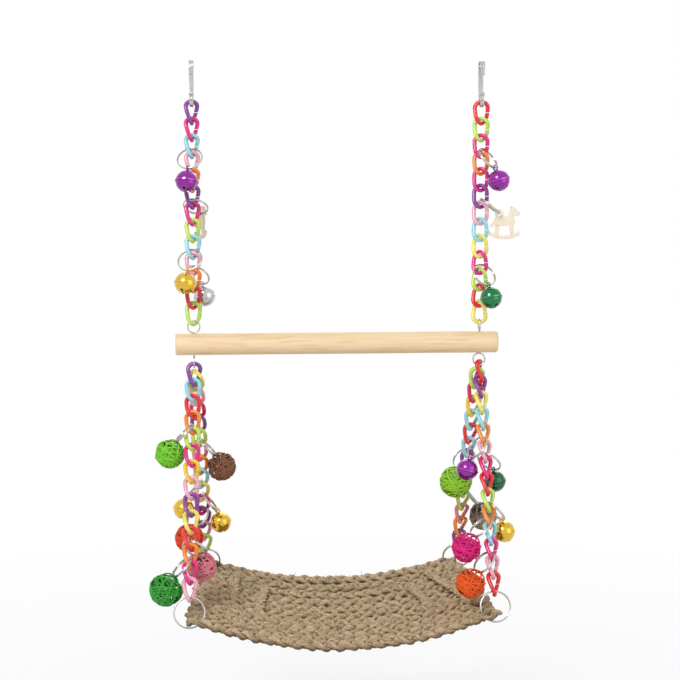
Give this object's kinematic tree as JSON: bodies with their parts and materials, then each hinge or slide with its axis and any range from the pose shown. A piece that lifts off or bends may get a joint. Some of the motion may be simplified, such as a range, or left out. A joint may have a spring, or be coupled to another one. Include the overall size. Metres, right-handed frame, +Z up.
{
  "type": "bird swing",
  "caption": "Hanging perch swing for pet birds: a wooden dowel and a woven mat on twisted link chains, with bells, vine balls and wooden charms, hung from snap clips.",
  "frame": {"origin": "midway between the two clips, at the height where a cage bar seats under their crowns", "axes": "+X along the perch to the viewer's right, +Y away from the viewer, +Z up"},
  "size_m": [0.3453, 0.186, 0.5289],
  "materials": {
    "nickel_steel": "bright nickel plate",
    "purple_plastic": "glossy moulded plastic",
    "red_plastic": "glossy moulded plastic",
    "chain_plastic": null,
    "pine": "bare sanded pine",
    "seagrass": "plaited dry seagrass cord",
    "purple_bell": "metallic lacquer",
    "gold_bell": "metallic lacquer",
    "silver_bell": "bright plate",
    "green_bell": "metallic lacquer",
    "light_green_vine": "dyed vine",
    "brown_vine": "dyed vine",
    "red_vine": "dyed vine",
    "salmon_vine": "dyed vine",
    "mid_green_vine": "dyed vine",
    "lime_vine": "dyed vine",
    "taupe_vine": "dyed vine",
    "pink_vine": "dyed vine",
    "orange_vine": "dyed vine",
    "pale_wood": "bare sanded board"
  },
  "bodies": {
    "clips": {"clip_left": "nickel_steel", "clip_right": "nickel_steel", "gate_pin_left": "nickel_steel", "gate_pin_right": "nickel_steel"},
    "gate_left": {"gate_left": "nickel_steel"},
    "gate_right": {"gate_right": "nickel_steel"},
    "head_link_left": {"first_link_left": "purple_plastic"},
    "head_link_right": {"first_link_right": "red_plastic"},
    "upper_left": {"upper_chain_left": "chain_plastic", "upper_rings_left": "nickel_steel"},
    "upper_right": {"upper_chain_right": "chain_plastic", "upper_rings_right": "nickel_steel"},
    "perch": {"perch": "pine", "eye_wire_left": "nickel_steel", "eye_wire_right": "nickel_steel"},
    "common_left": {"common_link_left": "purple_plastic"},
    "common_right": {"common_link_right": "red_plastic"},
    "lower_left": {"front_chain_left": "chain_plastic", "back_chain_left": "chain_plastic", "lower_rings_left": "nickel_steel", "corner_rings_left": "nickel_steel"},
    "lower_right": {"front_chain_right": "chain_plastic", "back_chain_right": "chain_plastic", "lower_rings_right": "nickel_steel", "corner_rings_right": "nickel_steel"},
    "mat": {"woven_mat": "seagrass"},
    "upper_purple_bell_left_hung": {"upper_purple_bell_left": "purple_bell", "upper_purple_pellet_left": "nickel_steel"},
    "upper_gold_bell_left_hung": {"upper_gold_bell_left": "gold_bell", "upper_gold_pellet_left": "nickel_steel"},
    "upper_silver_bell_left_hung": {"upper_silver_bell_left": "silver_bell", "upper_silver_pellet_left": "nickel_steel"},
    "charm_left_hung": {"charm_left": "pale_wood"},
    "upper_purple_bell_right_hung": {"upper_purple_bell_right": "purple_bell", "upper_purple_pellet_right": "nickel_steel"},
    "upper_green_bell_right_hung": {"upper_green_bell_right": "green_bell", "upper_green_pellet_right": "nickel_steel"},
    "charm_right_hung": {"charm_right": "pale_wood"},
    "light_green_ball_left_hung": {"light_green_ball_left": "light_green_vine"},
    "brown_ball_left_hung": {"brown_ball_left": "brown_vine"},
    "red_ball_left_hung": {"red_ball_left": "red_vine"},
    "salmon_ball_left_hung": {"salmon_ball_left": "salmon_vine"},
    "mid_green_ball_left_hung": {"mid_green_ball_left": "mid_green_vine"},
    "lower_gold_bell_left_hung": {"lower_gold_bell_left": "gold_bell", "lower_gold_pellet_left": "nickel_steel"},
    "outer_gold_bell_left_hung": {"outer_gold_bell_left": "gold_bell", "outer_gold_pellet_left": "nickel_steel"},
    "lime_ball_right_hung": {"lime_ball_right": "lime_vine"},
    "taupe_ball_right_hung": {"taupe_ball_right": "taupe_vine"},
    "pink_ball_right_hung": {"pink_ball_right": "pink_vine"},
    "orange_ball_right_hung": {"orange_ball_right": "orange_vine"},
    "lower_purple_bell_right_hung": {"lower_purple_bell_right": "purple_bell", "lower_purple_pellet_right": "nickel_steel"},
    "lower_green_bell_right_hung": {"lower_green_bell_right": "green_bell", "lower_green_pellet_right": "nickel_steel"},
    "lower_gold_bell_right_hung": {"lower_gold_bell_right": "gold_bell", "lower_gold_pellet_right": "nickel_steel"}
  },
  "joints": [
    {"name": "gate_left_open", "type": "hinge", "parent": "clips", "child": "gate_left", "pos_m": [-0.133, -0.00488, -0.029], "axis": [-1, 0, 0], "range_deg": [0, 25], "stiffness_Nm_per_rad": 0.02, "springref_deg": -14.32},
    {"name": "swing_left", "type": "hinge", "parent": "clips", "child": "head_link_left", "pos_m": [-0.133, 0, -0.03608], "axis": [1, 0, 0], "range_deg": [-25, 25]},
    {"name": "sway_left", "type": "hinge", "parent": "head_link_left", "child": "upper_left", "pos_m": [-0.133, 0, -0.05381], "axis": [0, 1, 0], "range_deg": [-10, 10]},
    {"name": "gate_right_open", "type": "hinge", "parent": "clips", "child": "gate_right", "pos_m": [0.133, -0.00488, -0.029], "axis": [-1, 0, 0], "range_deg": [0, 25], "stiffness_Nm_per_rad": 0.02, "springref_deg": -14.32},
    {"name": "swing_right", "type": "hinge", "parent": "clips", "child": "head_link_right", "pos_m": [0.133, 0, -0.03608], "axis": [1, 0, 0], "range_deg": [-25, 25]},
    {"name": "sway_right", "type": "hinge", "parent": "head_link_right", "child": "upper_right", "pos_m": [0.133, 0, -0.05381], "axis": [0, 1, 0], "range_deg": [-10, 10]},
    {"name": "perch_level", "type": "hinge", "parent": "upper_left", "child": "perch", "pos_m": [-0.133, 0, -0.23801], "axis": [0, 1, 0], "range_deg": [-10, 10]},
    {"name": "lower_swing_left", "type": "hinge", "parent": "perch", "child": "common_left", "pos_m": [-0.133, 0, -0.27691], "axis": [1, 0, 0], "range_deg": [-15, 15]},
    {"name": "lower_sway_left", "type": "hinge", "parent": "common_left", "child": "lower_left", "pos_m": [-0.133, 0, -0.28802], "axis": [0, 1, 0], "range_deg": [-5, 5]},
    {"name": "lower_swing_right", "type": "hinge", "parent": "perch", "child": "common_right", "pos_m": [0.133, 0, -0.27691], "axis": [1, 0, 0], "range_deg": [-15, 15]},
    {"name": "lower_sway_right", "type": "hinge", "parent": "common_right", "child": "lower_right", "pos_m": [0.133, 0, -0.28802], "axis": [0, 1, 0], "range_deg": [-5, 5]},
    {"name": "mat_level", "type": "hinge", "parent": "lower_left", "child": "mat", "pos_m": [-0.1315, 0, -0.5004], "axis": [0, 1, 0], "range_deg": [-5, 5]},
    {"name": "upper_purple_bell_left_swing", "type": "hinge", "parent": "upper_left", "child": "upper_purple_bell_left_hung", "pos_m": [-0.13692, -0.01412, -0.09645], "axis": [-0.9636, 0.2672, 0], "range_deg": [0, 25]},
    {"name": "upper_gold_bell_left_swing", "type": "hinge", "parent": "upper_left", "child": "upper_gold_bell_left_hung", "pos_m": [-0.13837, -0.01297, -0.18905], "axis": [-0.9239, 0.3827, 0], "range_deg": [0, 25]},
    {"name": "upper_silver_bell_left_swing", "type": "hinge", "parent": "upper_left", "child": "upper_silver_bell_left_hung", "pos_m": [-0.12502, 0.01229, -0.2039], "axis": [0.8387, -0.5446, 0], "range_deg": [0, 25]},
    {"name": "charm_left_swing", "type": "hinge", "parent": "upper_left", "child": "charm_left_hung", "pos_m": [-0.12745, 0.01709, -0.13907], "axis": [0.9511, -0.309, 0], "range_deg": [0, 25]},
    {"name": "upper_purple_bell_right_swing", "type": "hinge", "parent": "upper_right", "child": "upper_purple_bell_right_hung", "pos_m": [0.14522, -0.00809, -0.09645], "axis": [-0.5519, -0.8339, 0], "range_deg": [0, 25]},
    {"name": "upper_green_bell_right_swing", "type": "hinge", "parent": "upper_right", "child": "upper_green_bell_right_hung", "pos_m": [0.1397, -0.01234, -0.2044], "axis": [-0.8788, -0.4772, 0], "range_deg": [0, 25]},
    {"name": "charm_right_swing", "type": "hinge", "parent": "upper_right", "child": "charm_right_hung", "pos_m": [0.15097, 0.00016, -0.13907], "axis": [0.0087, -1, 0], "range_deg": [0, 25]},
    {"name": "light_green_ball_left_swing", "type": "hinge", "parent": "lower_left", "child": "light_green_ball_left_hung", "pos_m": [-0.15095, -0.01625, -0.34757], "axis": [0.0087, 1, 0], "range_deg": [0, 25]},
    {"name": "brown_ball_left_swing", "type": "hinge", "parent": "lower_left", "child": "brown_ball_left_hung", "pos_m": [-0.11321, 0.02769, -0.3689], "axis": [-0.0087, -1, 0], "range_deg": [0, 25]},
    {"name": "red_ball_left_swing", "type": "hinge", "parent": "lower_left", "child": "red_ball_left_hung", "pos_m": [-0.13683, 0.0455, -0.4415], "axis": [-0.7314, 0.682, 0], "range_deg": [0, 25]},
    {"name": "salmon_ball_left_swing", "type": "hinge", "parent": "lower_left", "child": "salmon_ball_left_hung", "pos_m": [-0.13002, -0.04326, -0.44871], "axis": [0.8788, -0.4772, 0], "range_deg": [0, 25]},
    {"name": "mid_green_ball_left_swing", "type": "hinge", "parent": "lower_left", "child": "mid_green_ball_left_hung", "pos_m": [-0.15318, -0.06475, -0.46163], "axis": [-0.1822, 0.9833, 0], "range_deg": [0, 25]},
    {"name": "lower_gold_bell_left_swing", "type": "hinge", "parent": "lower_left", "child": "lower_gold_bell_left_hung", "pos_m": [-0.14226, 0.04741, -0.413], "axis": [0.1736, 0.9848, 0], "range_deg": [0, 25]},
    {"name": "outer_gold_bell_left_swing", "type": "hinge", "parent": "lower_left", "child": "outer_gold_bell_left_hung", "pos_m": [-0.11268, 0.05041, -0.42725], "axis": [-0.0087, -1, 0], "range_deg": [0, 25]},
    {"name": "lime_ball_right_swing", "type": "hinge", "parent": "lower_right", "child": "lime_ball_right_hung", "pos_m": [0.11867, 0.0237, -0.38413], "axis": [-0.7071, 0.7071, 0], "range_deg": [0, 25]},
    {"name": "taupe_ball_right_swing", "type": "hinge", "parent": "lower_right", "child": "taupe_ball_right_hung", "pos_m": [0.14203, 0.05326, -0.42689], "axis": [0.1478, -0.989, 0], "range_deg": [0, 25]},
    {"name": "pink_ball_right_swing", "type": "hinge", "parent": "lower_right", "child": "pink_ball_right_hung", "pos_m": [0.11983, -0.05655, -0.43079], "axis": [-0.3502, 0.9367, 0], "range_deg": [0, 25]},
    {"name": "orange_ball_right_swing", "type": "hinge", "parent": "lower_right", "child": "orange_ball_right_hung", "pos_m": [0.12276, -0.06793, -0.46167], "axis": [-0.3987, 0.9171, 0], "range_deg": [0, 25]},
    {"name": "lower_purple_bell_right_swing", "type": "hinge", "parent": "lower_right", "child": "lower_purple_bell_right_hung", "pos_m": [0.12166, -0.02771, -0.36293], "axis": [-0.3987, 0.9171, 0], "range_deg": [0, 25]},
    {"name": "lower_green_bell_right_swing", "type": "hinge", "parent": "lower_right", "child": "lower_green_bell_right_hung", "pos_m": [0.14513, -0.01657, -0.37719], "axis": [0.749, -0.6626, 0], "range_deg": [0, 25]},
    {"name": "lower_gold_bell_right_swing", "type": "hinge", "parent": "lower_right", "child": "lower_gold_bell_right_hung", "pos_m": [0.14979, -0.03874, -0.41996], "axis": [0.3987, -0.9171, 0], "range_deg": [0, 25]}
  ],
  "couplings": [
    {"joint": "swing_right", "follows": "swing_left", "ratio": 1},
    {"joint": "sway_right", "follows": "sway_left", "ratio": 1},
    {"joint": "perch_level", "follows": "sway_left", "ratio": -1},
    {"joint": "lower_swing_right", "follows": "lower_swing_left", "ratio": 1},
    {"joint": "lower_sway_right", "follows": "lower_sway_left", "ratio": 1},
    {"joint": "mat_level", "follows": "lower_sway_left", "ratio": -1}
  ]
}
